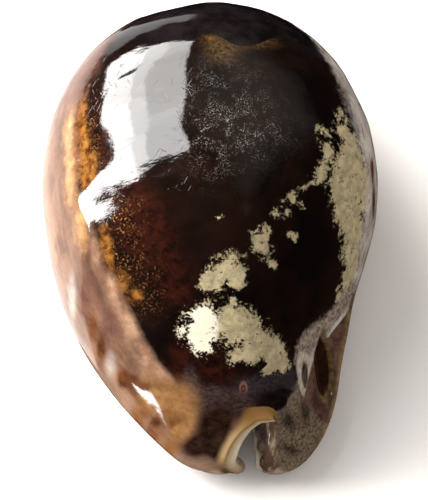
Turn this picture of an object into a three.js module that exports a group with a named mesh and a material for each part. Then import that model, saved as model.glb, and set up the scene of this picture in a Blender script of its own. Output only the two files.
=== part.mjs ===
// A hollow cowrie shell that grew as one piece, resting on the two lips of its slit.
// Millimetres, +Z up, front canal toward -Y, outer lip on the -X side.

import * as THREE from 'three';
import { LoftGeometry } from 'three/addons/geometries/LoftGeometry.js';

// ---- driving dimensions ----

// Cross sections are given at twelve stations, from the front canal to the back canal.
// Each row below holds one measure at those twelve stations.
const SHELL = {
  backY: [-33.2, -32.6, -30.8, -26.6, -19.2, -9.0, 3.0, 14.5, 24.5, 32.0, 36.2, 37.8],
  footY: [-39.2, -39.4, -37.0, -31.2, -22.5, -11.0, 2.0, 14.0, 26.0, 34.8, 38.8, 40.0],
  backX: [9.4, 8.2, 6.4, 4.2, 2.0, 0.6, -0.2, -0.4, -0.2, 0.0, 0.6, 1.0],
  backZ: [15.0, 17.4, 21.0, 26.2, 33.2, 39.4, 42.0, 41.8, 39.6, 34.0, 26.0, 18.0],
  leftX: [1.6, -2.4, -7.2, -13.2, -20.2, -25.7, -28.2, -27.9, -23.4, -15.6, -7.8, -2.0],
  rightX: [10.8, 12.6, 15.8, 18.9, 20.6, 23.2, 26.9, 26.4, 21.6, 14.5, 10.0, 8.8],
  leftZ: [7.0, 6.6, 7.0, 8.0, 9.5, 11.0, 12.5, 13.5, 13.5, 12.0, 10.0, 9.0],
  rightZ: [7.0, 5.6, 5.2, 5.2, 6.0, 8.6, 11.5, 13.0, 13.5, 12.0, 10.0, 9.0],
  baseZ: [1.6, 1.2, 0.7, 0.35, 0.12, -0.05, -0.05, -0.05, 0.1, 0.7, 1.8, 2.4],
  slitX: [5.8, 5.6, 5.0, 4.0, 2.8, 2.0, 1.6, 1.8, 2.5, 3.4, 4.0, 4.2],
  slitHalf: [2.3, 2.3, 2.5, 2.9, 3.1, 3.0, 2.8, 2.6, 2.4, 2.2, 2.1, 2.1],
  leftFlare: [1.0, 1.2, 1.4, 1.2, 0.95, 0.8, 0.75, 0.75, 0.75, 0.8, 0.9, 1.0],
  rightFlare: [1.0, 2.2, 3.6, 4.4, 3.2, 1.4, 0.85, 0.75, 0.75, 0.8, 0.9, 1.0],
};

// The empty chamber inside, measured the same way at the same stations.
const CHAMBER = {
  backY: [-33.0, -31.6, -29.4, -25.0, -17.8, -8.4, 3.0, 14.0, 23.4, 30.2, 34.2, 36.6],
  footY: [-38.4, -37.4, -34.8, -29.2, -21.0, -10.0, 2.0, 13.6, 24.6, 32.4, 36.4, 39.0],
  backX: SHELL.backX,
  backZ: [12.6, 14.6, 17.4, 21.6, 29.6, 36.4, 39.2, 38.8, 36.4, 30.6, 23.0, 15.4],
  leftX: [3.3, 1.6, -1.8, -9.2, -16.8, -22.7, -25.4, -25.2, -20.8, -12.8, -4.6, 1.4],
  rightX: [8.3, 8.8, 9.8, 11.6, 14.4, 19.2, 23.7, 23.6, 18.8, 11.8, 8.2, 7.0],
  leftZ: [7.0, 7.4, 8.6, 10.5, 12.5, 14.0, 15.5, 16.5, 16.5, 14.5, 11.0, 9.6],
  rightZ: [7.0, 7.4, 8.4, 9.8, 11.4, 13.4, 15.5, 16.5, 16.5, 14.5, 11.0, 9.6],
  baseZ: [6.4, 6.2, 6.0, 6.0, 6.0, 6.2, 6.4, 6.4, 6.2, 6.4, 6.8, 7.0],
  slitX: SHELL.slitX,
  slitHalf: SHELL.slitHalf,
  leftFlare: [1.0, 1.1, 1.3, 1.2, 0.95, 0.8, 0.75, 0.75, 0.75, 0.8, 0.9, 1.0],
  rightFlare: [1.0, 1.6, 2.6, 3.4, 3.0, 1.6, 0.9, 0.75, 0.75, 0.8, 0.9, 1.0],
};

const FLARE_SHARE = 0.86;     // the rest of the flare rounds over into the rim of the wing
const FLARE_FROM = 0.6;       // where, on the way down the side, the flare is fully in
const LIP_ROLL = 1.6;         // height the shell turns up from the base to the slit edge
const WORN_FLAT = 0.1;        // the base is flat wherever it comes this close to the ground
const TOOTH_HEIGHT = 0.35;    // how far each tooth stands out from the slit edge
const OUTER_BASE_SPAN = 0.5;  // share of the base width taken by its rounded edge, outside
const INNER_BASE_SPAN = 0.4;  // the same, inside

// Shares of the way round a section, from the middle of the back to the slit edge.
const MARGIN_AT = 0.5625;     // the widest line of the side
const REST_AT = 0.75;         // the line the shell rests on

const STATIONS = 52;          // sections in the loft
const OUTER_POINTS = 33;      // points round the outside of each section
const INNER_POINTS = 23;      // points round the chamber

// ---- sections ----

// Smooth curves through the twelve values of every measure.
function makeCurves(table) {
  const names = Object.keys(table);
  const count = table.backY.length;
  const places = Array.from({ length: count }, (_, i) => i);
  const values = places.flatMap((i) => names.map((name) => table[name][i]));
  const curve = new THREE.CubicInterpolant(places, values, names.length);
  return (u) => {
    const sample = curve.evaluate(u);
    return Object.fromEntries(names.map((name, i) => [name, sample[i]]));
  };
}

// One point of a section; turn runs from -1 at the left slit edge to +1 at the right one.
function sectionPoint(m, turn, baseSpan, roll) {
  const right = turn >= 0;
  const side = right ? 1 : -1;
  const a = Math.abs(turn);
  const marginX = right ? m.rightX : m.leftX;
  const marginZ = right ? m.rightZ : m.leftZ;
  const flare = right ? m.rightFlare : m.leftFlare;
  const slitEdgeX = m.slitX + side * m.slitHalf;
  const restX = THREE.MathUtils.lerp(slitEdgeX, marginX, baseSpan);
  const y = THREE.MathUtils.lerp(m.backY, m.footY, THREE.MathUtils.smoothstep(a, 0.08, 0.62));

  if (a <= MARGIN_AT) {
    const angle = (a / MARGIN_AT) * Math.PI / 2;
    const x = THREE.MathUtils.lerp(m.backX, marginX, Math.sin(angle));
    const round = Math.max(Math.cos(angle), 0);
    const share = FLARE_SHARE * THREE.MathUtils.smoothstep(a / MARGIN_AT, 0, FLARE_FROM);
    const fall = THREE.MathUtils.lerp(round, round ** flare, share);
    return new THREE.Vector3(x, y, THREE.MathUtils.lerp(marginZ, m.backZ, fall));
  }
  if (a <= REST_AT) {
    const angle = ((a - MARGIN_AT) / (REST_AT - MARGIN_AT)) * Math.PI / 2;
    const x = THREE.MathUtils.lerp(restX, marginX, Math.cos(angle));
    const z = THREE.MathUtils.lerp(marginZ, m.baseZ, Math.sin(angle));
    return new THREE.Vector3(x, y, z);
  }
  const angle = ((a - REST_AT) / (1 - REST_AT)) * Math.PI / 2;
  const x = THREE.MathUtils.lerp(restX, slitEdgeX, Math.sin(angle));
  return new THREE.Vector3(x, y, m.baseZ + roll * (1 - Math.cos(angle)));
}

// ---- the shell: outside skin, then back along the chamber, in one ring per station ----

const shellAt = makeCurves(SHELL);
const chamberAt = makeCurves(CHAMBER);
const lastPlace = SHELL.backY.length - 1;
const rings = [];

for (let i = 0; i < STATIONS; i += 1) {
  const u = (i / (STATIONS - 1)) * lastPlace;
  const outside = shellAt(u);
  const inside = chamberAt(u);

  // Teeth: every second section stands a little proud along both slit edges.
  const onCanal = i === 0 || i === STATIONS - 1;
  const tooth = !onCanal && i % 2 === 0 ? TOOTH_HEIGHT : 0;
  outside.slitHalf -= tooth;
  inside.slitHalf -= tooth;

  const ring = [];
  for (let k = 0; k < OUTER_POINTS; k += 1) {
    const turn = -1 + (2 * k) / (OUTER_POINTS - 1);
    const point = sectionPoint(outside, turn, OUTER_BASE_SPAN, LIP_ROLL);
    point.z = point.z < WORN_FLAT ? 0 : point.z;
    ring.push(point);
  }
  for (let k = 0; k < INNER_POINTS; k += 1) {
    const turn = 1 - (2 * k) / (INNER_POINTS - 1);
    ring.push(sectionPoint(inside, turn, INNER_BASE_SPAN, -LIP_ROLL));
  }
  rings.push(ring);
}

const geometry = new LoftGeometry(rings, { closed: true, capStart: true, capEnd: true });

// Put the origin under the middle of the shell, at the level it rests on.
geometry.computeBoundingBox();
const box = geometry.boundingBox;
const middle = box.getCenter(new THREE.Vector3());
geometry.translate(-middle.x, -middle.y, -box.min.z);

const material = new THREE.MeshStandardMaterial({ color: 0x3a2318, roughness: 0.1, metalness: 0 });
const shell = new THREE.Mesh(geometry, material);
shell.name = 'shell';

const part = new THREE.Group();
part.name = 'cowrie_shell';
part.add(shell);

export default part;
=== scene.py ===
# %% [markdown]
# # A hollow cowrie shell with a dark, glossy back
#
# A cowrie is one single shell. The animal wraps it in enamel from outside, so the back shines
# like glass, and the base carries a long slit between two toothed lips.
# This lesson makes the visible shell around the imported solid: same frame, same size, finer skin.

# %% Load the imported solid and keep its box
import math

import bpy
import numpy as np
from mathutils import Matrix, Vector


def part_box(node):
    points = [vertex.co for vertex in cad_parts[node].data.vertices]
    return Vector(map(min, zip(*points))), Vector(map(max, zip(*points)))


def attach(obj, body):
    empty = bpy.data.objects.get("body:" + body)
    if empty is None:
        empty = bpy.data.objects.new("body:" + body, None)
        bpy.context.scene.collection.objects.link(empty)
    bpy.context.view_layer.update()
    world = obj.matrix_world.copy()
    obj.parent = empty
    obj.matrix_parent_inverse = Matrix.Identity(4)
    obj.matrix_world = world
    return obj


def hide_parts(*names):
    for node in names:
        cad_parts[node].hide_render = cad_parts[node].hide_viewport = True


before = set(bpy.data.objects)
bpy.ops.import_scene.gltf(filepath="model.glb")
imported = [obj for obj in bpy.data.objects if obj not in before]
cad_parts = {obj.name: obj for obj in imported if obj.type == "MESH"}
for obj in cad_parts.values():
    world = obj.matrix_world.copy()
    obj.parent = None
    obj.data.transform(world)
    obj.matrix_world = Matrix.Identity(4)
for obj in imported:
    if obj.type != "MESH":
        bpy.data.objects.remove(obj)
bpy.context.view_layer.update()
low, high = (Vector(corner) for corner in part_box("shell"))
print("solid:", [round(1000 * (high[i] - low[i]), 1) for i in range(3)], "mm")

# %% [markdown]
# ## The measures of the shell
#
# A shell has no straight edge to measure from, so it is described by cross sections, as a boat
# is. Twelve stations run from the front canal (-Y) to the back canal (+Y), and each row below
# holds one measure at those stations, in millimetres. A sculpted mesh could do the same, but
# numbers like these can be read, compared and corrected one at a time.

# %% Measures at twelve stations, outside and inside
SHELL = {
    "back_y": [-33.2, -32.6, -30.8, -26.6, -19.2, -9.0, 3.0, 14.5, 24.5, 32.0, 36.2, 37.8],
    "foot_y": [-39.2, -39.4, -37.0, -31.2, -22.5, -11.0, 2.0, 14.0, 26.0, 34.8, 38.8, 40.0],
    "back_x": [9.4, 8.2, 6.4, 4.2, 2.0, 0.6, -0.2, -0.4, -0.2, 0.0, 0.6, 1.0],
    "back_z": [15.0, 17.4, 21.0, 26.2, 33.2, 39.4, 42.0, 41.8, 39.6, 34.0, 26.0, 18.0],
    "left_x": [1.6, -2.4, -7.2, -13.2, -20.2, -25.7, -28.2, -27.9, -23.4, -15.6, -7.8, -2.0],
    "right_x": [10.8, 12.6, 15.8, 18.9, 20.6, 23.2, 26.9, 26.4, 21.6, 14.5, 10.0, 8.8],
    "left_z": [7.0, 6.6, 7.0, 8.0, 9.5, 11.0, 12.5, 13.5, 13.5, 12.0, 10.0, 9.0],
    "right_z": [7.0, 5.6, 5.2, 5.2, 6.0, 8.6, 11.5, 13.0, 13.5, 12.0, 10.0, 9.0],
    "base_z": [1.6, 1.2, 0.7, 0.35, 0.12, -0.05, -0.05, -0.05, 0.1, 0.7, 1.8, 2.4],
    "slit_x": [5.8, 5.6, 5.0, 4.0, 2.8, 2.0, 1.6, 1.8, 2.5, 3.4, 4.0, 4.2],
    "slit_half": [2.3, 2.3, 2.5, 2.9, 3.1, 3.0, 2.8, 2.6, 2.4, 2.2, 2.1, 2.1],
    "left_flare": [1.0, 1.2, 1.4, 1.2, 0.95, 0.8, 0.75, 0.75, 0.75, 0.8, 0.9, 1.0],
    "right_flare": [1.0, 2.2, 3.6, 4.4, 3.2, 1.4, 0.85, 0.75, 0.75, 0.8, 0.9, 1.0],
}
CHAMBER = {
    "back_y": [-33.0, -31.6, -29.4, -25.0, -17.8, -8.4, 3.0, 14.0, 23.4, 30.2, 34.2, 36.6],
    "foot_y": [-38.4, -37.4, -34.8, -29.2, -21.0, -10.0, 2.0, 13.6, 24.6, 32.4, 36.4, 39.0],
    "back_x": SHELL["back_x"],
    "back_z": [12.6, 14.6, 17.4, 21.6, 29.6, 36.4, 39.2, 38.8, 36.4, 30.6, 23.0, 15.4],
    "left_x": [3.3, 1.6, -1.8, -9.2, -16.8, -22.7, -25.4, -25.2, -20.8, -12.8, -4.6, 1.4],
    "right_x": [8.3, 8.8, 9.8, 11.6, 14.4, 19.2, 23.7, 23.6, 18.8, 11.8, 8.2, 7.0],
    "left_z": [7.0, 7.4, 8.6, 10.5, 12.5, 14.0, 15.5, 16.5, 16.5, 14.5, 11.0, 9.6],
    "right_z": [7.0, 7.4, 8.4, 9.8, 11.4, 13.4, 15.5, 16.5, 16.5, 14.5, 11.0, 9.6],
    "base_z": [6.4, 6.2, 6.0, 6.0, 6.0, 6.2, 6.4, 6.4, 6.2, 6.4, 6.8, 7.0],
    "slit_x": SHELL["slit_x"],
    "slit_half": SHELL["slit_half"],
    "left_flare": [1.0, 1.1, 1.3, 1.2, 0.95, 0.8, 0.75, 0.75, 0.75, 0.8, 0.9, 1.0],
    "right_flare": [1.0, 1.6, 2.6, 3.4, 3.0, 1.6, 0.9, 0.75, 0.75, 0.8, 0.9, 1.0],
}
LAST_STATION = len(SHELL["back_y"]) - 1
MARGIN_AT = 0.5625      # turn at the widest line of the side: 0 is the back, 1 the slit edge
REST_AT = 0.75          # turn at the line that the shell rests on
FLARE_SHARE = 0.86      # the rest of a flare rounds over into its rim
FLARE_FROM = 0.6
LIP_ROLL = 1.6          # the base turns up by this much into the slit
print(len(SHELL), "measures at", LAST_STATION + 1, "stations")

# %% [markdown]
# ## Smooth curves through the stations
#
# Between two stations every measure follows a cubic curve that leaves each station in the
# direction of its neighbours. A straight line would leave a crease at each station, and the
# gloss of the real shell would show every one of them.

# %% Curves, blends and one point of a section
def along_stations(values, station):
    values = np.asarray(values, float)
    start = np.minimum(station.astype(int), LAST_STATION - 1)
    t = station - start
    before = values[np.where(start == 0, 1, start - 1)]
    after = values[np.where(start + 1 == LAST_STATION, LAST_STATION - 1, start + 2)]
    first, second = values[start], values[start + 1]
    slope_in, slope_out = (second - before) / 2, (after - first) / 2
    t2, t3 = t * t, t * t * t
    return ((2 * t3 - 3 * t2 + 1) * first + (t3 - 2 * t2 + t) * slope_in
            + (3 * t2 - 2 * t3) * second + (t3 - t2) * slope_out)


def blend(a, b, share):
    return a + (b - a) * share


def ease(value, start, end):
    t = np.clip((value - start) / (end - start), 0, 1)
    return t * t * (3 - 2 * t)


def section(table, station, turn, rounding, roll):
    """Points of the skin, in mm: station along the shell, turn from -1 (left slit edge) to 1."""
    m = {name: along_stations(values, station) for name, values in table.items()}
    right = turn >= 0
    share = np.abs(turn)
    margin_x = np.where(right, m["right_x"], m["left_x"])
    margin_z = np.where(right, m["right_z"], m["left_z"])
    flare = np.where(right, m["right_flare"], m["left_flare"])
    edge_x = m["slit_x"] + np.where(right, 1, -1) * m["slit_half"]
    rest_x = blend(edge_x, margin_x, rounding)
    y = blend(m["back_y"], m["foot_y"], ease(share, 0.08, 0.62))

    over = np.clip(share / MARGIN_AT, 0, 1)
    round_fall = np.maximum(np.cos(over * math.pi / 2), 0)
    fall = blend(round_fall, round_fall ** flare, FLARE_SHARE * ease(over, 0, FLARE_FROM))
    back_x = blend(m["back_x"], margin_x, np.sin(over * math.pi / 2))
    back_z = blend(margin_z, m["back_z"], fall)

    under = np.clip((share - MARGIN_AT) / (REST_AT - MARGIN_AT), 0, 1) * math.pi / 2
    side_x = blend(rest_x, margin_x, np.cos(under))
    side_z = blend(margin_z, m["base_z"], np.sin(under))

    inward = np.clip((share - REST_AT) / (1 - REST_AT), 0, 1) * math.pi / 2
    lip_x = blend(rest_x, edge_x, np.sin(inward))
    lip_z = m["base_z"] + roll * (1 - np.cos(inward))

    on_back, on_side = share <= MARGIN_AT, share <= REST_AT
    x = np.where(on_back, back_x, np.where(on_side, side_x, lip_x))
    z = np.where(on_back, back_z, np.where(on_side, side_z, lip_z))
    return np.stack([x, y, z], -1)


# %% [markdown]
# ## The grid of the skin
#
# Outside and inside use the same grid, so that the two can be joined all round the slit and
# the canals. The rows crowd together towards both ends, where the forms are smallest, and the
# columns crowd towards the slit, where the teeth are.

# %% Lay out the grid
ROWS = 236              # from the front canal to the back canal
COLUMNS = 184           # once round the outside, slit edge to slit edge

row_share = np.linspace(0, 1, ROWS)
station_line = LAST_STATION * (row_share - 0.05 * np.sin(2 * math.pi * row_share))
column_share = np.linspace(-1, 1, COLUMNS)
turn_line = column_share + 0.05 * np.sin(2 * math.pi * column_share) * (1 - 0.3 * column_share ** 2)
station, turn = np.meshgrid(station_line, turn_line, indexing="ij")

outside = section(SHELL, station, turn, 0.5, LIP_ROLL)
inside = section(CHAMBER, station, turn, 0.4, -LIP_ROLL)
print("grid of", ROWS, "x", COLUMNS, "points, twice")

# %% [markdown]
# ## Forms smaller than the stations
#
# The stations give the body. The forms that make it this shell are added by moving points along
# the skin's normal: long soft waves from uneven growth, the edge of the enamel that the animal
# laid over the sides, the valley, hollow and rim of the flared wing, the thick lip of the front
# canal, and the teeth. Sculpting would do it too, but a formula can be read and changed.

# %% Helpers for small forms
random = np.random.default_rng(7)


def outward(points):
    """Unit normals of a grid, pointing out of the top of the shell."""
    normal = np.cross(np.gradient(points, axis=1), np.gradient(points, axis=0))
    normal /= np.linalg.norm(normal, axis=-1, keepdims=True) + 1e-12
    return normal * np.sign(normal[ROWS // 2, COLUMNS // 2, 2])


def waves(points, longest, shortest, count):
    """A soft uneven field between about -1 and 1, from waves of mixed length in mm."""
    total = np.zeros(points.shape[:-1])
    for _ in range(count):
        direction = random.normal(size=3)
        direction /= np.linalg.norm(direction)
        length = random.uniform(shortest, longest)
        total += np.sin(points @ direction * 2 * math.pi / length + random.uniform(0, 2 * math.pi))
    return total / math.sqrt(count)


def spots(points, places):
    """Soft round or oval spots, as seen from above: (x, y, radius) or (x, y, radius x, radius y)."""
    total = np.zeros(points.shape[:-1])
    for x, y, radius_x, *rest in places:
        radius_y = rest[0] if rest else radius_x
        apart = ((points[..., 0] - x) / radius_x) ** 2 + ((points[..., 1] - y) / radius_y) ** 2
        total += np.exp(-apart)
    return total


def ridge(value, middle, width):
    return np.exp(-((value - middle) / width) ** 2)


def oval_distance(x, y, middle, radii):
    """How far out of an oval each point lies, seen from above: 0 in the middle, 1 on its line."""
    return np.hypot((x - middle[0]) / radii[0], (y - middle[1]) / radii[1])


# %% Where the side enamel ends
share = np.abs(turn)
is_right = turn >= 0
LEFT_EDGE = [0.13, 0.16, 0.23, 0.255, 0.265, 0.285, 0.31, 0.305, 0.29, 0.33, 0.38, 0.42]
RIGHT_EDGE = [0.12, 0.16, 0.22, 0.25, 0.31, 0.46, 0.415, 0.345, 0.34, 0.36, 0.40, 0.44]
LOBE_EDGE = [0.08, 0.15, 0.21, 0.24, 0.26, 0.30, 0.40, 0.40, 0.40, 0.40, 0.40, 0.40]
edge = np.where(is_right, along_stations(RIGHT_EDGE, station), along_stations(LEFT_EDGE, station))
edge = edge + 0.007 * waves(outside, 14, 5, 6)      # its border wanders a little
enamel = share - edge
print("side enamel covers", round(100 * float((enamel > 0).mean())), "% of the outside grid")

# %% Push the forms out of the skin
x, y = outside[..., 0], outside[..., 1]
BACK_ENDS = 0.62        # turn where the side has curved under
upper = share < BACK_ENDS
right_upper = is_right & upper
TOOTH_PITCH = 2.6       # mm
TOOTH_HEIGHT = 0.5
HOLLOW_AT = (18.1, -23.2)
HOLLOW_RADII = (1.25, 4.6)
HOLLOW_DEPTH = 1.1
WING_CREASE = [0.24, 0.25, 0.27, 0.292, 0.345, 0.53, 0.60, 0.62, 0.62, 0.62, 0.62, 0.62]

growth = 0.06 * waves(outside, 15, 7, 9) * ease(share, 0.85, 0.6)
growth += 0.018 * waves(outside, 4.5, 2.2, 12) * ease(share, 0.6, 0.5)
enamel_step = 0.22 * ease(enamel, -0.01, 0.025) * upper

# the wing: a valley along its crease, a swollen band above that, a hollow and a rim
crease = share - along_stations(WING_CREASE, station)
wing_reach = ease(station, 2.5, 3.1) * ease(station, 5.3, 4.9) * right_upper
rim_reach = ease(station, 1.6, 2.6) * ease(station, 5.2, 4.4) * right_upper
hollow_apart = oval_distance(x, y, HOLLOW_AT, HOLLOW_RADII)
hollow_field = np.exp(-hollow_apart ** 4) * right_upper
hollow_ring = 0.22 * ridge(hollow_apart, 1.35, 0.22) * right_upper
wing_rim = 0.55 * ridge(share, 0.51, 0.04) * rim_reach
wing_valley = -0.45 * ridge(crease, 0.0, 0.022) * wing_reach
band_swell = 0.35 * ridge(crease, -0.055, 0.035) * wing_reach

# the canals and the spire
canal_lip = 0.7 * ridge(station, 0.12, 0.3) * ease(turn, 0.16, 0.02) * ease(share, 0.62, 0.45)
canal_crease = -0.4 * ridge(station, 0.85, 0.22) * ease(turn, 0.2, 0.05) * ease(share, 0.45, 0.3)
spire = 0.7 * spots(outside, [(-1.5, 37.5, 2.2, 1.8)]) * upper

# the teeth fade out before both canals
off_canals = ease(station, 0.5, 1.5) * ease(station, 10.6, 9.8)
tooth_wave = (np.sin(y * 2 * math.pi / TOOTH_PITCH) * 0.5 + 0.5) * off_canals
tooth_reach = np.where(is_right, ease(share, 0.90, 0.97), ease(share, 0.84, 0.94))
teeth = TOOTH_HEIGHT * tooth_wave * tooth_reach

for sheet in (outside, inside):     # the four corners of the lips are rounded off
    sheet[..., 1] += 1.4 * ease(share, 0.72, 1.0) * ease(station, 1.2, 0.0)
    sheet[..., 1] -= 0.8 * ease(share, 0.80, 1.0) * ease(station, 10.0, 11.0)

swell = growth + enamel_step - HOLLOW_DEPTH * hollow_field + hollow_ring + wing_rim + wing_valley
swell += band_swell + canal_lip + canal_crease + spire + teeth
outside = outside + outward(outside) * swell[..., None]

inner_reach = ease(share, 0.86, 0.97)
inner_wave = (np.sin(inside[..., 1] * 2 * math.pi / TOOTH_PITCH) * 0.5 + 0.5) * off_canals
inside = inside - outward(inside) * (0.8 * TOOTH_HEIGHT * inner_wave * inner_reach)[..., None]
outside[..., 2] = np.maximum(outside[..., 2], 0)    # nothing reaches below the rest plane
print("forms stand", round(float(swell.max()), 2), "mm out and", round(float(-swell.min()), 2), "mm in")

# %% [markdown]
# ## Closing the wall round the slit and the canals
#
# The outside and the inside are two sheets with the same border. A row of half rings round that
# border joins them and gives every edge of the shell its rounded lip. Thickening one sheet with a
# modifier would be quicker, but a real wall is thin over the back and thick at the lips.

# %% The border and its half rings
RIM_STEPS = 7
SLIT_BULGE = 0.14       # how far the edge stands out, as a share of the wall there
CANAL_BULGE = 0.45
SOFTEN = 6              # border points on each side that the direction is averaged over

index = np.arange(ROWS * COLUMNS).reshape(ROWS, COLUMNS)
front = [(0, j) for j in range(COLUMNS)]
right_edge = [(i, COLUMNS - 1) for i in range(1, ROWS)]
back = [(ROWS - 1, j) for j in range(COLUMNS - 2, -1, -1)]
left_edge = [(i, 0) for i in range(ROWS - 2, 0, -1)]
border = np.array(front + right_edge + back + left_edge)
rows, columns = border[:, 0], border[:, 1]
outer_edge, inner_edge = outside[rows, columns], inside[rows, columns]

wall = inner_edge - outer_edge
thickness = np.linalg.norm(wall, axis=1, keepdims=True)
middle = (outer_edge + inner_edge) / 2
onward = np.roll(middle, -1, axis=0) - np.roll(middle, 1, axis=0)
onward /= np.linalg.norm(onward, axis=1, keepdims=True) + 1e-9
away = np.cross(onward, wall)
away /= np.linalg.norm(away, axis=1, keepdims=True) + 1e-9
step_in = np.stack([np.clip(rows, 1, ROWS - 2), np.clip(columns, 1, COLUMNS - 2)])
from_inner = outer_edge - outside[step_in[0], step_in[1]]
away *= np.sign(np.median((away * from_inner).sum(1)))
away = sum(np.roll(away, k, axis=0) for k in range(-SOFTEN, SOFTEN + 1))
away /= np.linalg.norm(away, axis=1, keepdims=True) + 1e-9
ahead = from_inner / (np.linalg.norm(from_inner, axis=1, keepdims=True) + 1e-9)
ahead = sum(np.roll(ahead, k, axis=0) for k in range(-SOFTEN, SOFTEN + 1)) / (2 * SOFTEN + 1)
away = 0.55 * away + 0.45 * ahead
away /= np.linalg.norm(away, axis=1, keepdims=True) + 1e-9
on_canal = (rows == 0) | (rows == ROWS - 1)
round_lip = on_canal * ease(share[rows, columns], 0.93, 0.75)
round_lip = round_lip * blend(1.0, 0.3, ease(turn[rows, columns], 0.12, 0.3) * (rows == 0))
bulge = blend(SLIT_BULGE, CANAL_BULGE, round_lip)[:, None]

rings = []
for k in range(1, RIM_STEPS):
    angle = math.pi * k / RIM_STEPS
    ring = outer_edge + wall * (1 - math.cos(angle)) / 2 + away * thickness * bulge * math.sin(angle)
    ring[:, 2] = np.maximum(ring[:, 2], 0)
    rings.append(ring)
print(len(border), "border points, wall", thickness.min().round(1), "to", thickness.max().round(1), "mm")

# %% Faces of both sheets and of the lip between them
points = np.concatenate([outside.reshape(-1, 3), inside.reshape(-1, 3), *rings])
outer_count = ROWS * COLUMNS
corner = [index[:-1, :-1], index[:-1, 1:], index[1:, 1:], index[1:, :-1]]
outer_faces = np.stack(corner, -1).reshape(-1, 4)
inner_faces = outer_faces[:, ::-1] + outer_count
flat_border = index[rows, columns]
loops = [flat_border]
loops += [2 * outer_count + k * len(border) + np.arange(len(border)) for k in range(RIM_STEPS - 1)]
loops.append(flat_border + outer_count)
rim_faces = [np.stack([a, b, np.roll(b, -1), np.roll(a, -1)], -1) for a, b in zip(loops[:-1], loops[1:])]
faces = np.concatenate([outer_faces, inner_faces, *rim_faces])
print(len(points), "points and", len(faces), "faces")

# %% [markdown]
# ## Placing it in the frame
#
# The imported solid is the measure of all: the finer skin is fitted to its box, so a scale, a mount
# or a neighbour that suits the solid suits this too.

# %% Fit to the solid's box, in metres
span = points.max(0) - points.min(0)
target = np.array(high) - np.array(low)
placed = (points - points.min(0)) / span * target + np.array(low)
print("fitted by factors", (target / span * 1000).round(4))

mesh = bpy.data.meshes.new("shell_skin")
mesh.from_pydata(placed.tolist(), [], faces.tolist())
mesh.update()
shell = bpy.data.objects.new("shell_skin", mesh)
bpy.context.scene.collection.objects.link(shell)
mesh.shade_smooth()

# %% [markdown]
# ## Which way is out
#
# The faces were listed without care for their direction, so Blender is asked to turn them all
# outward. It works because the wall is one closed surface.

# %% Turn the faces outward
import bmesh

work = bmesh.new()
work.from_mesh(mesh)
bmesh.ops.recalc_face_normals(work, faces=work.faces)
open_edges = sum(1 for line in work.edges if not line.is_manifold)
work.to_mesh(mesh)
work.free()
print("open edges:", open_edges)

# %% [markdown]
# ## Where each marking lies
#
# The colours of a cowrie follow the mantle that painted them: dark over the back, mottled enamel
# round the sides, pale lips. Each marking gets a soft field, stored on the points of the mesh. The
# material breaks its edge up later with fine noise, which a painted image could not do sharply.

# %% Store a field on the points
def store(name, field, on_lip=None, inside_value=0.0):
    """Keeps one value per point; the lip repeats the outside's border unless given its own."""
    lip = np.tile(field[rows, columns], (RIM_STEPS - 1, 1)) if on_lip is None else on_lip
    values = np.concatenate([field.ravel(), np.full(outer_count, inside_value), lip.ravel()])
    mesh.attributes.new(name, "FLOAT", "POINT").data.foreach_set("value", values.astype(np.float32))


print("fields go on", len(points), "points")

# %% [markdown]
# The first fields only say where a point is: how far along the shell, how far round it, and how deep
# in the lip. Streaks that follow the shell are drawn in these, so they bend with it.

# %% Places along and round the shell, and across its lips
MM_PER_STATION = 7.2
MM_ROUND = 60.0
store("along", station * MM_PER_STATION)
store("around", turn * MM_ROUND)
ring_share = np.arange(1, RIM_STEPS)[:, None] / RIM_STEPS
store("lip_depth", np.zeros_like(share), ring_share * np.ones(len(border)), 1.0)
front_wall = (rows == 0) * ease(turn[rows, columns], 0.10, 0.22) * ease(share[rows, columns], 1.0, 0.9)
store("front_wall", np.zeros_like(share), ease(ring_share, 0.0, 0.25) * front_wall)
print("places stored:", len(ring_share), "rings in the lip")

# %% [markdown]
# Cream patches on the back are the last enamel that the mantle laid down, thick and chalky. Each one is
# a cluster of soft spots. Painting by hand would place them as well, but spots can be moved by number.

# %% Cream patches over the back
CREAM = [
    # the large patch on the right side, and its two upper branches
    (21.8, 4.0, 2.4), (22.8, 0.7, 2.6), (22.0, -3.0, 2.4), (24.0, 4.3, 2.4), (22.9, -5.8, 2.0),
    (22.6, -8.6, 1.6), (20.8, 9.8, 1.6), (22.4, 8.0, 1.6), (20.2, 12.8, 0.9), (17.3, 8.4, 1.0),
    (17.8, 5.4, 1.2), (20.4, -0.4, 2.0), (20.2, 3.0, 1.4), (21.8, -11.0, 1.0), (20.6, -12.8, 0.8),
    # scattered flecks
    (17.4, 2.6, 0.8), (16.6, 0.9, 0.9), (15.4, -0.2, 0.7), (14.0, -1.6, 0.6), (12.4, -3.4, 0.8),
    (11.0, -4.4, 0.6), (9.8, -6.4, 0.7), (11.4, -6.2, 0.6), (12.4, -8.9, 0.7), (14.2, -4.2, 0.5),
    (7.5, -11.6, 1.5), (8.0, -9.2, 0.9), (6.4, -10.4, 0.8), (9.2, -13.8, 0.6), (0.6, -7.9, 0.45),
    # the patch in the middle
    (1.4, -15.6, 1.9), (3.4, -14.4, 1.4), (-0.9, -16.8, 1.3), (3.8, -16.8, 1.2),
    # the broad patch in front
    (-3.6, -22.6, 1.9), (-1.4, -21.8, 2.0), (-1.8, -24.6, 1.6), (2.2, -22.4, 1.9), (5.2, -23.0, 2.2),
    (7.6, -24.6, 2.2), (9.8, -25.0, 1.8), (5.4, -26.0, 1.4), (3.2, -26.8, 1.0), (8.6, -27.8, 1.0),
    (10.8, -26.4, 1.2), (3.4, -20.6, 1.2),
]
PALE_CREAM = [(-3.8, -22.8, 2.6), (-1.8, -24.4, 2.2), (-1.2, -21.8, 1.8)]
on_top = ease(share, 0.56, 0.50)
branching = 1 + 0.35 * waves(outside, 4.5, 1.7, 16)
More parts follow.
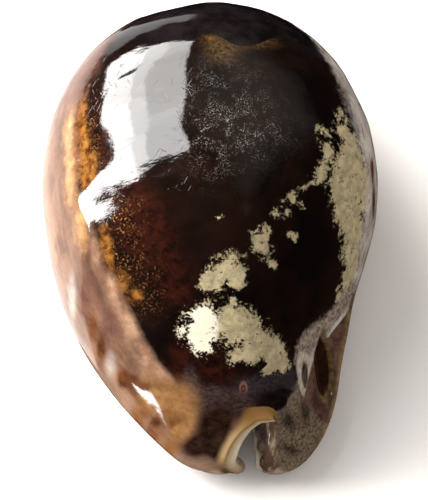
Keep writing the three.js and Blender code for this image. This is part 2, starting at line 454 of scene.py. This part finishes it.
store("cream", spots(outside, CREAM) * branching * on_top)
store("pale_cream", spots(outside, PALE_CREAM) * on_top)
print(len(CREAM), "cream spots")

# %% [markdown]
# Where the dark enamel is thin, the brown shell under it glows amber and red, with gold dust in it. The
# top has lost its polish in fine specks. These places fade out, so their spots are broad.

# %% Warm, see-through places and worn places
AMBER = [
    (-21.6, 13.5, 1.3, 3.6), (-21.4, 8.0, 1.7, 3.6), (-20.4, 3.4, 1.9, 2.6), (-20.0, 0.4, 1.6, 1.8),
    (-17.4, -8.8, 1.0, 2.2), (-16.6, -11.6, 1.0, 2.0), (-14.8, -15.4, 1.4, 1.6),
    (-12.4, -17.6, 1.4, 1.2), (-0.4, 22.8, 0.8, 0.8),
]
GOLD_DUST = [
    (-14.8, -11.6, 3.0, 4.6), (-12.6, -15.4, 3.2, 3.0), (-14.8, -6.0, 3.0, 2.6),
    (-9.6, -18.0, 2.2, 2.2), (-19.6, 6.0, 2.4, 6.0),
]
WARM_TOP = [(2.4, 22.8, 4.4, 1.9), (7.0, 23.6, 3.4, 1.5), (1.2, 20.0, 2.4, 2.0)]
RED = [(-12.0, -6.0, 4.0), (-10.0, -11.0, 4.5), (-6.0, -17.0, 3.5), (-17.0, 10.0, 3.0, 5.0),
       (-15.5, 1.0, 4.0, 5.0), (-5.0, -26.0, 3.0), (1.0, -28.0, 5.0, 2.6)]
WEAR = [(-1.0, 6.0, 3.6), (3.4, 5.0, 4.0), (0.0, 1.5, 3.6), (7.6, 7.0, 4.4), (2.0, 13.0, 5.0)]
HAZE = [(6.0, -30.2, 3.4, 1.4), (9.9, -28.8, 2.2, 1.6), (12.4, -27.4, 1.8)]
INK = [(9.4, -31.6, 2.0, 1.0), (11.8, -30.2, 1.6, 1.0)]
store("gold_dust", np.minimum(spots(outside, GOLD_DUST), 1) * upper)
for name, places in (("amber", AMBER), ("red", RED), ("warm_top", WARM_TOP), ("wear", WEAR),
                     ("haze", HAZE), ("ink", INK)):
    store(name, spots(outside, places) * upper)
VEIL_FROM = 7.85        # station where the dark veil over the back end begins
veil_line = VEIL_FROM + 0.10 * waves(outside, 16, 6, 6)
store("back_veil", ease(station, veil_line - 0.08, veil_line + 0.08) * upper)
print(len(AMBER) + len(RED) + len(WARM_TOP), "warm spots,", len(WEAR), "worn ones")

# %% [markdown]
# The sides carry a second enamel, peach and golden on the left and pale on the right. Its paleness
# along the left margin and on the right is partly painted sheen and reflection of the white surface.
# In front it thickens into lobes: a golden one and a dark one on the left, a mottled one on the right.

# %% The side enamel, its brown and white places, and the front lobes
BROWN = [
    (-19.6, -19.6, 0.8, 1.8), (-18.3, -22.6, 0.9, 1.8), (-14.9, -26.8, 1.0), (-13.4, -27.6, 1.4, 0.9),
    (-9.6, -33.2, 1.3, 0.8), (-11.6, -29.0, 1.8, 0.6),
    (25.9, 6.6, 0.4, 2.2), (26.3, 2.2, 0.4, 2.4), (23.8, -5.4, 0.4, 1.8), (22.8, -8.6, 0.4, 1.6),
]
WHITE = [(-16.8, -24.9, 1.2, 1.6), (-23.0, -14.6, 1.0, 3.4)]
GOLDEN = [(-23.2, 9.6, 1.3, 5.0), (-22.8, 1.6, 1.3, 4.0), (-21.0, -5.6, 1.2, 4.0)]
PEACH = [
    (-18.4, -9.6, 1.2, 3.6), (-15.8, -15.4, 1.4, 3.4), (-13.2, -20.2, 1.8, 3.2),
    (-10.2, -24.6, 2.2, 2.8), (-7.6, -28.4, 2.6, 2.2),
]
DUSK = [
    (-20.6, -16.4, 1.5, 4.0), (-17.0, -20.8, 1.6, 3.4), (-10.6, -18.8, 1.4, 3.4), (-7.4, -22.6, 1.3, 3.0),
]
YELLOW = [
    (-5.2, -32.2, 2.8, 2.6), (-8.0, -30.8, 3.0, 2.2), (-10.8, -29.8, 2.2, 2.0), (-5.0, -35.0, 2.4, 1.4),
]
DARK_LOBE = [
    (-0.4, -35.8, 3.0, 2.6), (0.9, -33.9, 2.2, 1.6), (1.4, -37.8, 2.0, 1.5), (-3.2, -37.2, 2.2, 1.2),
]
RUST = [
    (-13.0, -32.0, 2.2, 1.4), (-10.4, -34.6, 2.2, 1.3), (-7.2, -36.8, 2.2, 1.2),
    (-12.4, -28.4, 1.6, 0.7), (-6.6, -33.8, 1.2, 0.8),
]
LOBE_SHADE = [
    (12.2, -33.4, 1.5, 1.3), (9.4, -35.2, 1.1, 1.8), (15.0, -30.8, 1.0, 2.0), (12.6, -37.0, 1.6, 0.9),
]
MAUVE = [
    (-1.6, -31.3, 2.8, 1.5), (0.8, -32.0, 3.0, 1.3), (3.8, -31.9, 2.8, 1.1), (-3.8, -29.2, 1.2, 2.0),
    (-0.4, -33.0, 2.0, 1.2),
]
side = ease(enamel, -0.02, 0.03)
store("side_depth", ease(enamel, 0.0, 0.20))
store("enamel", np.clip(enamel / 0.06, -1, 1))
store("right_side", is_right * 1.0)
# paler towards the left margin: partly the enamel's pale edge, partly painted sheen of the lit edge that
# mirrors the white surface
store("margin", ease(share, 0.42, 0.56))
for name, places in (("brown", BROWN), ("white", WHITE)):
    store(name, spots(outside, places) * side * upper)
for name, places in (("golden", GOLDEN), ("peach", PEACH), ("dusk", DUSK)):
    store(name, np.minimum(spots(outside, places), 1) * side * upper)
for name, places in (("yellow", YELLOW), ("dark_lobe", DARK_LOBE), ("mauve", MAUVE)):
    store(name, spots(outside, places) * upper)
store("rust", spots(outside, RUST))
store("lobe_shade", spots(outside, LOBE_SHADE) * is_right)
print("enamel border", edge.min().round(2), "to", edge.max().round(2), "of the way round")

# %% The right lobe and the pale loop beside it
lobe_turn = turn - along_stations(LOBE_EDGE, station)
right_lobe = is_right * ease(station, 3.7, 3.2) * ease(lobe_turn, -0.02, 0.03) * upper
store("right_lobe", right_lobe)
LOOP_AT = (14.7, -25.6)
LOOP_RADII = (1.2, 2.5)
loop_apart = oval_distance(x, y, LOOP_AT, LOOP_RADII)
store("loop", ridge(loop_apart, 1.0, 0.30) * right_upper)
store("loop_core", np.exp(-(loop_apart / 0.7) ** 4) * right_upper)
print("right lobe covers", round(100 * float((right_lobe > 0.5).mean()), 1), "% of the outside grid")

# %% [markdown]
# The last fields follow the forms themselves: the wing with its hollow and rim, the lip of the canal,
# the base and the crests of the teeth. They reuse the formulas that moved the skin, so paint and form
# can't drift apart.

# %% Wing, canal lip, underside and teeth
wing_fade = ease(station, 2.5, 3.1) * ease(station, 6.4, 4.8) * right_upper
store("pale_band", ridge(crease, -0.055, 0.028) * wing_reach * ease(station, 3.0, 3.4))
store("wing", ease(crease, -0.01, 0.015) * wing_fade)
store("hollow", hollow_field)
store("hollow_ring", ridge(hollow_apart, 1.05, 0.22) * right_upper)
store("wing_rim", ridge(share, 0.52, 0.04) * rim_reach)
lip_width = 0.42 + 0.60 * ease(turn, -0.26, -0.04)
lip_reach = ease(station, lip_width + 0.16, lip_width - 0.14)
store("canal_lip", lip_reach * ease(share, 0.84, 0.72) * ease(turn, 0.21, 0.10))
store("underside", ease(share, 0.56, 0.66))
store("tooth", teeth / TOOTH_HEIGHT)
print("stored", len(mesh.attributes), "attributes")

# %% [markdown]
# ## Tools for the materials
#
# Every finish here is made of nodes. A short helper adds a node and feeds its sockets, so that the
# recipe of a material can be read from top to bottom.

# %% A helper that adds nodes
def colour(code):
    """A colour from its usual six letters and digits, as Blender's linear values."""
    parts = [int(code[k:k + 2], 16) / 255 for k in (0, 2, 4)]
    return tuple(p / 12.92 if p <= 0.04045 else ((p + 0.055) / 1.055) ** 2.4 for p in parts) + (1.0,)


class Recipe:
    def __init__(self, tree):
        self.tree = tree

    def add(self, kind, feeds, output=0, **settings):
        node = self.tree.nodes.new(kind)
        for name, value in settings.items():
            setattr(node, name, value)
        for name, value in feeds.items():
            socket = node.inputs[name]
            if isinstance(value, bpy.types.NodeSocket):
                self.tree.links.new(value, socket)
            else:
                socket.default_value = value
        return node.outputs[output]

    def field(self, name):
        return self.add("ShaderNodeAttribute", {}, output="Fac", attribute_name=name)

    def calc(self, operation, a, b=0.0, clamp=False):
        return self.add("ShaderNodeMath", {0: a, 1: b}, operation=operation, use_clamp=clamp)

    def noise(self, place, scale, detail=4.0, rough=0.6):
        feeds = {"Vector": place, "Scale": scale, "Detail": detail, "Roughness": rough}
        return self.add("ShaderNodeTexNoise", feeds)

    def fade(self, value, start, end):
        feeds = {"Value": value, "From Min": start, "From Max": end}
        return self.add("ShaderNodeMapRange", feeds, interpolation_type="SMOOTHSTEP")

    def mix(self, share, a, b):
        return self.add("ShaderNodeMix", {0: share, 6: a, 7: b}, output=2, data_type="RGBA")

    def stretch(self, place, scale):
        return self.add("ShaderNodeMapping", {"Vector": place, "Scale": scale})


def new_group(name, inputs, outputs):
    """A shader group with named sockets; returns its tree, input node and output node."""
    tree = bpy.data.node_groups.new(name, "ShaderNodeTree")
    for label, kind, value in inputs:
        socket = tree.interface.new_socket(label, in_out="INPUT", socket_type=kind)
        if value is not None:
            socket.default_value = value
    for label, kind in outputs:
        tree.interface.new_socket(label, in_out="OUTPUT", socket_type=kind)
    return tree, tree.nodes.new("NodeGroupInput"), tree.nodes.new("NodeGroupOutput")


print("node helpers ready")

# %% [markdown]
# ## Crusty edges
#
# The pale patches are made of tiny crystals of enamel, so their edges are frayed like lichen. The
# group takes a soft field and adds fine noise before it cuts the edge. Both materials use it.

# %% Group: frayed edge
FLOAT, VECTOR = "NodeSocketFloat", "NodeSocketVector"
frayed, given, result = new_group(
    "frayed_edge",
    [("Field", FLOAT, 0.0), ("Place", VECTOR, None), ("Grain", FLOAT, 900.0), ("Fray", FLOAT, 0.6),
     ("Level", FLOAT, 0.5), ("Softness", FLOAT, 0.05)],
    [("Mask", FLOAT)])
r = Recipe(frayed)
fine = r.noise(given.outputs["Place"], given.outputs["Grain"], 6.0, 0.8)
broad = r.noise(given.outputs["Place"], r.calc("MULTIPLY", given.outputs["Grain"], 0.33), 4.0, 0.7)
both = r.calc("ADD", r.calc("MULTIPLY", fine, 0.55), r.calc("MULTIPLY", broad, 0.45))
offset = r.calc("MULTIPLY", r.calc("SUBTRACT", both, 0.5), given.outputs["Fray"])
held = r.calc("MINIMUM", given.outputs["Field"], 1.0)
raised = r.calc("ADD", held, r.calc("MULTIPLY", offset, 2.0))
low_end = r.calc("SUBTRACT", given.outputs["Level"], given.outputs["Softness"])
high_end = r.calc("ADD", given.outputs["Level"], given.outputs["Softness"])
mask = r.calc("MULTIPLY", r.fade(raised, low_end, high_end), r.fade(given.outputs["Field"], 0.06, 0.24))
frayed.links.new(mask, result.inputs["Mask"])
print("group", frayed.name)

# %% [markdown]
# ## Fine scratches
#
# A shell that has rolled in sand and lain in drawers is crossed by hair-fine scratches. They are
# too fine for the mesh, so they are noise stretched along two directions, and act on the bump.

# %% Group: fine scratches
scratches, given, result = new_group(
    "fine_scratches", [("Place", VECTOR, None), ("Amount", FLOAT, 0.5)], [("Mask", FLOAT)])
r = Recipe(scratches)
SCRATCH_RUNS = (                            # direction, and how the noise is stretched
    (0.5, (260.0, 2600.0, 900.0)),
    (2.1, (300.0, 3000.0, 1000.0)),
    (1.2, (240.0, 2300.0, 800.0)),
)
hairs = []
for direction, size in SCRATCH_RUNS:
    feeds = {"Vector": given.outputs["Place"], "Rotation": (0.0, 0.0, direction)}
    swung = r.add("ShaderNodeMapping", feeds)
    hairs.append(r.fade(r.noise(r.stretch(swung, size), 1.0, 2.0, 0.5), 0.66, 0.74))
most = r.calc("MAXIMUM", r.calc("MAXIMUM", hairs[0], hairs[1]), hairs[2])
patchy = r.fade(r.noise(given.outputs["Place"], 120.0, 2.0, 0.5), 0.45, 0.65)
scratches.links.new(r.calc("MULTIPLY", r.calc("MULTIPLY", most, patchy), given.outputs["Amount"]),
                    result.inputs["Mask"])
print("group", scratches.name)

# %% [markdown]
# ## The outside
#
# One material paints the whole outside, layer over layer, as the animal did: the dark back first,
# warm thin places, cream patches, then the side enamel, the wing, the lips and the underside. Each
# layer has a field that says where it lies, a fray for its edge, and two colours that mottle it.

# %% Layers of the outside
# name: (field level, softness, fray, grain per metre, first colour, second colour, mottle per metre)
BACK_LAYERS = {
    "red": (0.60, 0.55, 0.80, 900, "150806", "30140d", 500),
    "amber": (0.62, 0.50, 1.10, 1500, "46210d", "96642c", 700),
    "warm_top": (0.60, 0.60, 0.90, 1500, "20150c", "4c3920", 1700),
    "haze": (0.55, 0.45, 0.50, 900, "241e20", "383032", 1800),
    "cream": (0.52, 0.16, 2.60, 2000, "95886a", "bcad88", 700),
    "ink": (0.45, 0.25, 0.80, 900, "0c0808", "1c1413", 900),
    "back_veil": (0.50, 0.20, 0.30, 900, "0b0808", "181214", 260),
}
SIDE_LAYERS = {
    "golden": (0.60, 0.55, 1.60, 260, "86603f", "b28a5e", 240),
    "peach": (0.55, 0.55, 0.60, 500, "966e56", "c09a7c", 300),
    "dusk": (0.60, 0.55, 0.60, 500, "553a32", "724f43", 300),
    "mauve": (0.45, 0.45, 0.70, 1500, "271d1c", "483835", 1700),
    "yellow": (0.55, 0.55, 0.30, 400, "7a5230", "a77d50", 110),
    "rust": (0.55, 0.55, 0.50, 500, "5c351c", "84552f", 220),
    "dark_lobe": (0.50, 0.45, 0.60, 700, "180d08", "35221a", 700),
    "brown": (0.50, 0.40, 0.30, 500, "4a2917", "6e442a", 300),
    "white": (0.70, 0.55, 0.30, 500, "a0948c", "beb2a8", 300),
    "right_lobe": (0.50, 0.35, 0.80, 900, "43362d", "84745f", 2100),
    "lobe_shade": (0.55, 0.55, 0.90, 1100, "261d18", "463a2e", 1500),
    "pale_band": (0.45, 0.25, 0.90, 1200, "5a4d46", "a49484", 1400),
    "loop_core": (0.50, 0.30, 0.60, 900, "2e2828", "544b48", 900),
    "loop": (0.50, 0.25, 0.80, 900, "9c8f80", "c6baa8", 900),
    "wing": (0.50, 0.12, 0.20, 900, "432e27", "6b5043", 420),
    "wing_rim": (0.45, 0.25, 0.35, 900, "5e4a34", "8a7652", 500),
    "hollow": (0.40, 0.15, 0.10, 900, "1d0d08", "341c12", 500),
    "hollow_ring": (0.70, 0.30, 0.40, 900, "4c3d24", "75623a", 900),
    "underside": (0.50, 0.35, 0.60, 500, "987f70", "b7a08e", 300),
}


def paint_layer(r, place, below, name, level, softness, fray, grain, first, second, mottle_scale):
    group = r.tree.nodes.new("ShaderNodeGroup")
    group.node_tree = frayed
    r.tree.links.new(r.field(name), group.inputs["Field"])
    r.tree.links.new(place, group.inputs["Place"])
    for label, value in (("Grain", grain), ("Fray", fray), ("Level", level), ("Softness", softness)):
        group.inputs[label].default_value = value
    mottle = r.fade(r.noise(place, mottle_scale, 6.0, 0.7), 0.36, 0.64)
    own = r.mix(mottle, colour(first), colour(second))
    mask = group.outputs["Mask"]
    return r.mix(mask, below, own), mask


print(len(BACK_LAYERS), "layers over the back,", len(SIDE_LAYERS), "over the sides")

# %% [markdown]
# The back is painted first. A loop lays the layers over a nearly black ground, and four small touches
# follow that are no layers: chalk on the broad cream patch, gold dust, worn specks and a round scar.

# %% Paint the back
outer_finish = bpy.data.materials.new("enamelled_shell")
outer_finish.use_nodes = True
r = Recipe(outer_finish.node_tree)
shader = outer_finish.node_tree.nodes["Principled BSDF"]
place = r.add("ShaderNodeTexCoord", {}, output="Object")
masks = {}

depth = r.fade(r.noise(place, 90.0, 3.0, 0.6), 0.35, 0.65)
paint = r.mix(depth, colour("0b0706"), colour("1a0e0a"))
for name, recipe in BACK_LAYERS.items():
    paint, masks[name] = paint_layer(r, place, paint, name, *recipe)

# the bright front end of the broad cream patch
chalk = r.fade(r.calc("ADD", r.field("pale_cream"), r.noise(place, 1500.0, 5.0, 0.75)), 0.70, 1.30)
paint = r.mix(r.calc("MULTIPLY", chalk, masks["cream"]), paint, colour("e9e2cc"))

# gold dust beside the amber, and worn specks on the top
glint = r.fade(r.noise(place, 2600.0, 3.0, 0.7), 0.53, 0.67)
drift = r.fade(r.noise(place, 380.0, 4.0, 0.7), 0.38, 0.62)
glint = r.calc("MULTIPLY", glint, r.calc("MULTIPLY", r.field("gold_dust"), drift))
paint = r.mix(r.calc("MULTIPLY", glint, 0.85), paint, colour("94693a"))
speck = r.fade(r.noise(place, 4200.0, 4.0, 0.8), 0.52, 0.66)
clump = r.fade(r.noise(place, 420.0, 4.0, 0.7), 0.42, 0.62)
dulled = r.calc("MULTIPLY", r.field("wear"), 0.72, clamp=True)
worn = r.calc("MULTIPLY", dulled, r.calc("MULTIPLY", speck, clump))
paint = r.mix(worn, paint, colour("9a938b"))

# a small round scar near the front, measured as seen from above
SCAR_AT = (0.0053, -0.0306)
FORESHORTENED = 0.8                         # along the shell, because the skin slopes there
from_above = r.stretch(place, (1.0, FORESHORTENED, 0.0))
middle = (SCAR_AT[0], SCAR_AT[1] * FORESHORTENED, 0.0)
feeds = {0: from_above, 1: middle}
apart = r.add("ShaderNodeVectorMath", feeds, output="Value", operation="DISTANCE")
scar = r.calc("MULTIPLY", r.fade(apart, 0.00026, 0.00045), r.fade(apart, 0.00078, 0.00058))
scar = r.calc("MAXIMUM", scar, r.fade(apart, 0.00020, 0.00010))
paint = r.mix(r.calc("MULTIPLY", scar, 0.8), paint, colour("7a5244"))
print("back painted with", len(r.tree.nodes), "nodes")

# %% [markdown]
# The side enamel lies over the back with a ragged border. Its clouds and streaks are noise stretched
# along the shell, which looks like the growth of the mantle; plain noise would look like stone.

# %% Paint the side enamel
# streaks follow the shell, so their noise lives in millimetres along and round it
lengthwise = r.add("ShaderNodeCombineXYZ", {
    "X": r.calc("MULTIPLY", r.field("along"), 0.28), "Y": r.field("around"), "Z": 0.0})
wide_streak = r.fade(r.noise(lengthwise, 0.30, 3.0, 0.5), 0.40, 0.66)
fine_streak = r.fade(r.noise(lengthwise, 1.5, 4.0, 0.65), 0.45, 0.65)
cloud = r.fade(r.noise(place, 160.0, 4.0, 0.6), 0.38, 0.62)
left_paint = r.mix(cloud, colour("6a4b3b"), colour("8e6b55"))
left_paint = r.mix(r.calc("MULTIPLY", wide_streak, 0.45), left_paint, colour("a98467"))
left_paint = r.mix(r.calc("MULTIPLY", fine_streak, 0.12), left_paint, colour("c8a585"))
freckle = r.fade(r.noise(place, 2200.0, 4.0, 0.7), 0.50, 0.66)
left_paint = r.mix(r.calc("MULTIPLY", freckle, 0.16), left_paint, colour("3f2a22"))
# the outer margin is painted paler: partly the pale edge of the enamel, partly painted sheen of the lit,
# window-side edge
left_paint = r.mix(r.calc("MULTIPLY", r.field("margin"), 0.30), left_paint, colour("b39786"))
left_paint = r.mix(r.fade(r.field("side_depth"), 1.1, -0.3), left_paint, colour("4a312c"))
# the right enamel is painted pale grey-white: partly its own colour, partly painted reflection of the
# white floor beside the shell
right_enamel_and_reflection = r.mix(cloud, colour("a79c94"), colour("cdc4bb"))
brown_dash = r.fade(r.noise(lengthwise, 0.9, 4.0, 0.6), 0.56, 0.70)
right_enamel_and_reflection = r.mix(brown_dash, right_enamel_and_reflection, colour("7d685c"))
side_paint = r.mix(r.field("right_side"), left_paint, right_enamel_and_reflection)
ragged = r.calc("MULTIPLY", r.calc("SUBTRACT", r.noise(place, 700.0, 6.0, 0.75), 0.5), 1.3)
side_mask = r.fade(r.calc("ADD", r.field("enamel"), ragged), -0.30, 0.60)
paint = r.mix(side_mask, paint, side_paint)
for name, recipe in SIDE_LAYERS.items():
    paint, masks[name] = paint_layer(r, place, paint, name, *recipe)

# %% [markdown]
# The lip of the front canal is honey-coloured outside and cream inside, and the teeth are the palest
# part of the shell. Both are masks over everything painted so far.

# %% Paint the lips and teeth
lip_tone = r.fade(r.field("lip_depth"), 0.0, 0.45)
lip_end = r.fade(r.field("around"), -26.0, -44.0)
lip_top = r.mix(r.fade(r.field("around"), -10.0, -20.0), colour("86643a"), colour("9c8460"))
lip_top = r.mix(lip_end, lip_top, colour("4a3726"))
lip_wall = r.mix(lip_end, colour("d9cdb2"), colour("7d6a52"))
lip_paint = r.mix(lip_tone, lip_top, lip_wall)
lip_paint = r.mix(r.calc("MULTIPLY", cloud, 0.2), lip_paint, colour("a07a48"))
paint = r.mix(r.field("canal_lip"), paint, lip_paint)
wall_streak = r.fade(r.noise(r.stretch(place, (1.0, 0.3, 0.3)), 500.0, 4.0, 0.6), 0.48, 0.62)
wall_paint = r.mix(wall_streak, colour("4a382e"), colour("8c7a66"))
paint = r.mix(r.field("front_wall"), paint, wall_paint)
paint = r.mix(r.calc("MULTIPLY", r.field("tooth"), 0.7), paint, colour("efe4d0"))

# %% [markdown]
# A cowrie needs no clear coat: the enamel itself is the gloss, so roughness is low and one Principled
# shader is enough. The cream crust and the worn specks are a little duller, and a faint ripple in the
# bump makes mirrored window edges swim, as they do on the real shell.

# %% Gloss and small relief of the outside
scratch = r.tree.nodes.new("ShaderNodeGroup")
scratch.node_tree = scratches
r.tree.links.new(place, scratch.inputs["Place"])
scratch.inputs["Amount"].default_value = 0.8
crust = r.calc("MULTIPLY", masks["cream"], r.noise(place, 1400.0, 3.0, 0.7))
rough = r.calc("ADD", 0.06, r.calc("MULTIPLY", masks["cream"], 0.10))
rough = r.calc("ADD", rough, r.calc("MULTIPLY", worn, 0.35))
ripple = r.noise(r.stretch(place, (0.7, 1.5, 1.0)), 330.0, 3.0, 0.5)
relief = r.calc("ADD", r.calc("MULTIPLY", crust, 0.5), r.calc("MULTIPLY", scratch.outputs["Mask"], -0.5))
grain = r.noise(place, 1900.0, 3.0, 0.7)
relief = r.calc("ADD", relief, r.calc("ADD", ripple, r.calc("MULTIPLY", grain, 0.16)))
bumped = r.add("ShaderNodeBump", {"Height": relief, "Strength": 0.35, "Distance": 0.0001})
r.tree.links.new(paint, shader.inputs["Base Color"])
r.tree.links.new(rough, shader.inputs["Roughness"])
r.tree.links.new(bumped, shader.inputs["Normal"])
shader.inputs["IOR"].default_value = 1.56
print("outside finish:", len(r.tree.nodes), "nodes")

# %% [markdown]
# ## The inside
#
# Nothing glossed the chamber, so it is smooth but duller, a pale violet-brown porcelain with thin
# splashes of enamel. The splashes use the frayed edge again, with a coarser grain.

# %% Finish of the chamber
inner_finish = bpy.data.materials.new("chamber_porcelain")
inner_finish.use_nodes = True
r = Recipe(inner_finish.node_tree)
shader = inner_finish.node_tree.nodes["Principled BSDF"]
place = r.add("ShaderNodeTexCoord", {}, output="Object")
cloud = r.fade(r.noise(place, 110.0, 4.0, 0.6), 0.38, 0.62)
paint = r.mix(cloud, colour("5b4038"), colour("8d7468"))
band = r.fade(r.noise(r.stretch(place, (1.0, 0.2, 1.0)), 320.0, 3.0, 0.6), 0.52, 0.66)
paint = r.mix(r.calc("MULTIPLY", band, 0.6), paint, colour("b7a593"))
splash = r.tree.nodes.new("ShaderNodeGroup")
splash.node_tree = frayed
r.tree.links.new(r.fade(r.noise(place, 60.0, 3.0, 0.6), 0.45, 0.65), splash.inputs["Field"])
r.tree.links.new(place, splash.inputs["Place"])
for label, value in (("Grain", 500.0), ("Fray", 0.8), ("Level", 0.6), ("Softness", 0.2)):
    splash.inputs[label].default_value = value
paint = r.mix(splash.outputs["Mask"], paint, colour("c3b3a2"))
r.tree.links.new(paint, shader.inputs["Base Color"])
r.tree.links.new(r.calc("ADD", 0.22, r.calc("MULTIPLY", cloud, 0.1)), shader.inputs["Roughness"])
print("inside finish:", len(r.tree.nodes), "nodes")

# %% [markdown]
# The faces of the inner sheet take the porcelain; the outer sheet and the lip between take the enamel.
# Both sheets stay one object, because the shell is one piece that replaces one solid.

# %% Give each face its finish
mesh.materials.append(outer_finish)
mesh.materials.append(inner_finish)
finish_of_face = np.zeros(len(faces), np.int32)
finish_of_face[len(outer_faces):2 * len(outer_faces)] = 1
mesh.polygons.foreach_set("material_index", finish_of_face)

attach(shell, "root")
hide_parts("shell")

# %% [markdown]
# ## Floor, light and camera
#
# The shell lies on a white surface beside a big window: a broad soft light from the left and
# behind, which the glossy back reflects as one bright patch, and little light from anywhere else.

# %% A plain pale floor
FLOOR_HALF = 0.9
floor_mesh = bpy.data.meshes.new("floor")
FLOOR_Z = -0.0002       # a hair below the shell, so that the two surfaces don't share a plane
floor_corners = [(-FLOOR_HALF, -FLOOR_HALF, FLOOR_Z), (FLOOR_HALF, -FLOOR_HALF, FLOOR_Z),
                 (FLOOR_HALF, FLOOR_HALF, FLOOR_Z), (-FLOOR_HALF, FLOOR_HALF, FLOOR_Z)]
floor_mesh.from_pydata(floor_corners, [], [(0, 1, 2, 3)])
floor = bpy.data.objects.new("floor", floor_mesh)
bpy.context.scene.collection.objects.link(floor)
floor_finish = bpy.data.materials.new("pale_floor")
floor_finish.use_nodes = True
floor_shader = floor_finish.node_tree.nodes["Principled BSDF"]
floor_shader.inputs["Base Color"].default_value = (0.86, 0.84, 0.82, 1)
floor_shader.inputs["Roughness"].default_value = 0.6
floor_mesh.materials.append(floor_finish)
floor.visible_glossy = False                # else its white veils the dark back


# %% [markdown]
# A glossy dark thing is lit by what it mirrors. The window is built of panes of uneven brightness, so
# its reflection has the soft steps of a real one. A dim wall gives the top a faint sheen, a white card
# pales the steep side, and a sliver of light makes the glint on the front lobe. One lamp from above
# would be simpler, but the back would be a black blot with a dot on it.

# %% Lights
WINDOW_FACING = (-0.701, 0.405, 0.588)      # from the shell towards the middle of the window
WINDOW_REACH = 0.55
CEILING_FACING = (0.36, 0.50, 0.79)         # from the shell towards the dim wall and ceiling

toward = Vector(WINDOW_FACING).normalized()
level = toward.cross(Vector((0, 0, 1))).normalized()
upright = level.cross(toward)
corner_point = Vector((0, 0, 0.03)) + toward * WINDOW_REACH + level * 0.012 + upright * 0.350
across = level * 0.791 - upright * 0.612    # along the window's top edge
down = -(level * 0.622 + upright * 0.783)   # along its left edge


def lit_area(name, middle, x_axis, facing_away, width, height, radiance, tint):
    """A plain rectangle of light; it shines against facing_away and isn't seen itself."""
    light = bpy.data.lights.new(name, "AREA")
    light.shape = "RECTANGLE"
    light.size, light.size_y = width, height
    light.energy = radiance * math.pi * width * height
    light.color = tint
    lamp = bpy.data.objects.new(name, light)
    bpy.context.scene.collection.objects.link(lamp)
    lamp.location = middle
    y_axis = facing_away.cross(x_axis)
    lamp.rotation_mode = "QUATERNION"
    lamp.rotation_quaternion = Matrix((x_axis, y_axis, facing_away)).transposed().to_quaternion()
    lamp.visible_camera = False
    return lamp


# the panes of the window: start and end along its top edge, top and bottom, radiance
PANES = {
    "window_left_1": (0.00, 0.14, 0.00, 0.22, 10.5),
    "window_left_2": (0.00, 0.14, 0.22, 0.32, 15.5),
    "window_left_3": (0.00, 0.14, 0.32, 0.75, 22.0),
    "window_high_1": (0.14, 0.20, 0.00, 0.20, 11.0),
    "window_high_2": (0.20, 0.28, 0.00, 0.21, 9.5),
    "window_high_3": (0.28, 0.37, 0.00, 0.20, 8.6),
    "window_high_4": (0.37, 0.46, 0.00, 0.19, 8.0),
    "window_high_5": (0.46, 0.64, 0.00, 0.16, 9.0),
    "window_middle_1": (0.14, 0.30, 0.20, 0.29, 14.0),
    "window_middle_2": (0.30, 0.46, 0.19, 0.27, 12.0),
    "window_middle_3": (0.46, 0.64, 0.16, 0.28, 11.5),
    "window_low_1": (0.14, 0.30, 0.29, 0.42, 20.0),
    "window_low_2": (0.30, 0.44, 0.27, 0.42, 17.0),
    "window_low_3": (0.49, 0.64, 0.28, 0.45, 16.0),
    "window_low_4": (0.44, 0.49, 0.35, 0.45, 16.0),
}
for name, (start, end, top, bottom, radiance) in PANES.items():
    middle = corner_point + across * (start + end) / 2 + down * (top + bottom) / 2
    lit_area(name, middle, across, toward, end - start, bottom - top, radiance, (1.0, 0.99, 0.97))

toward = Vector(CEILING_FACING).normalized()
level = toward.cross(Vector((0, 0, 1))).normalized()
for number, size in enumerate((0.86, 0.74, 0.62, 0.48, 0.34)):    # one inside the other: a soft edge
    lit_area(f"far_wall_{number}", toward * (0.62 - 0.002 * number), level, toward,
             size, size * 0.86, 0.062, (1.0, 0.93, 0.84))

# a white card lying on the left: the steep side mirrors it, which makes the rim pale
FACING_FLOOR = Vector((0, 0, -1))           # a card shines the other way, upward
ACROSS_FLOOR = Vector((1, 0, 0))
white_card = lit_area("white_card", Vector((-0.162, 0.11, 0.0004)), ACROSS_FLOOR, FACING_FLOOR,
                      0.276, 0.27, 1.1, (1.0, 0.98, 0.96))
white_card.visible_diffuse = False

# a small bright card in front on the left, mirrored as the glint on the front lobe
glint_card = lit_area("glint_card", Vector((-0.0316, -0.0545, 0.0004)), ACROSS_FLOOR, FACING_FLOOR,
                      0.005, 0.016, 16.0, (1.0, 1.0, 1.0))
glint_card.visible_diffuse = False

world = bpy.data.worlds.new("dim_room")
world.use_nodes = True
world.node_tree.nodes["Background"].inputs["Color"].default_value = (1.0, 0.96, 0.94, 1)
world.node_tree.nodes["Background"].inputs["Strength"].default_value = 0.60
world.cycles_visibility.glossy = False      # it only fills the shadows
bpy.context.scene.world = world
bpy.context.scene.view_settings.view_transform = "Standard"
print(len(PANES), "window panes, a dim wall and two cards")

# %% [markdown]
# The shell is seen from a little in front of straight above, so the camera stands 70 degrees up. A long
# lens keeps the outline of the domed back true.

# %% Camera
VIEW_ELEVATION = math.radians(70)
VIEW_DISTANCE = 0.38
SENSOR = 24.0
look_at = Vector((0.00064, -0.00454, 0.014))
back_off = Vector((0, -math.cos(VIEW_ELEVATION), math.sin(VIEW_ELEVATION)))
camera = bpy.data.objects.new("camera", bpy.data.cameras.new("camera"))
bpy.context.scene.collection.objects.link(camera)
camera.data.sensor_fit = "VERTICAL"
camera.data.sensor_height = SENSOR
camera.data.lens = 4.6 * SENSOR
camera.data.clip_start = 0.01
camera.location = look_at + back_off * VIEW_DISTANCE
camera.rotation_mode = "QUATERNION"
camera.rotation_quaternion = (-back_off).to_track_quat("-Z", "Y")
bpy.context.scene.camera = camera
print("camera", [round(v, 3) for v in camera.location])
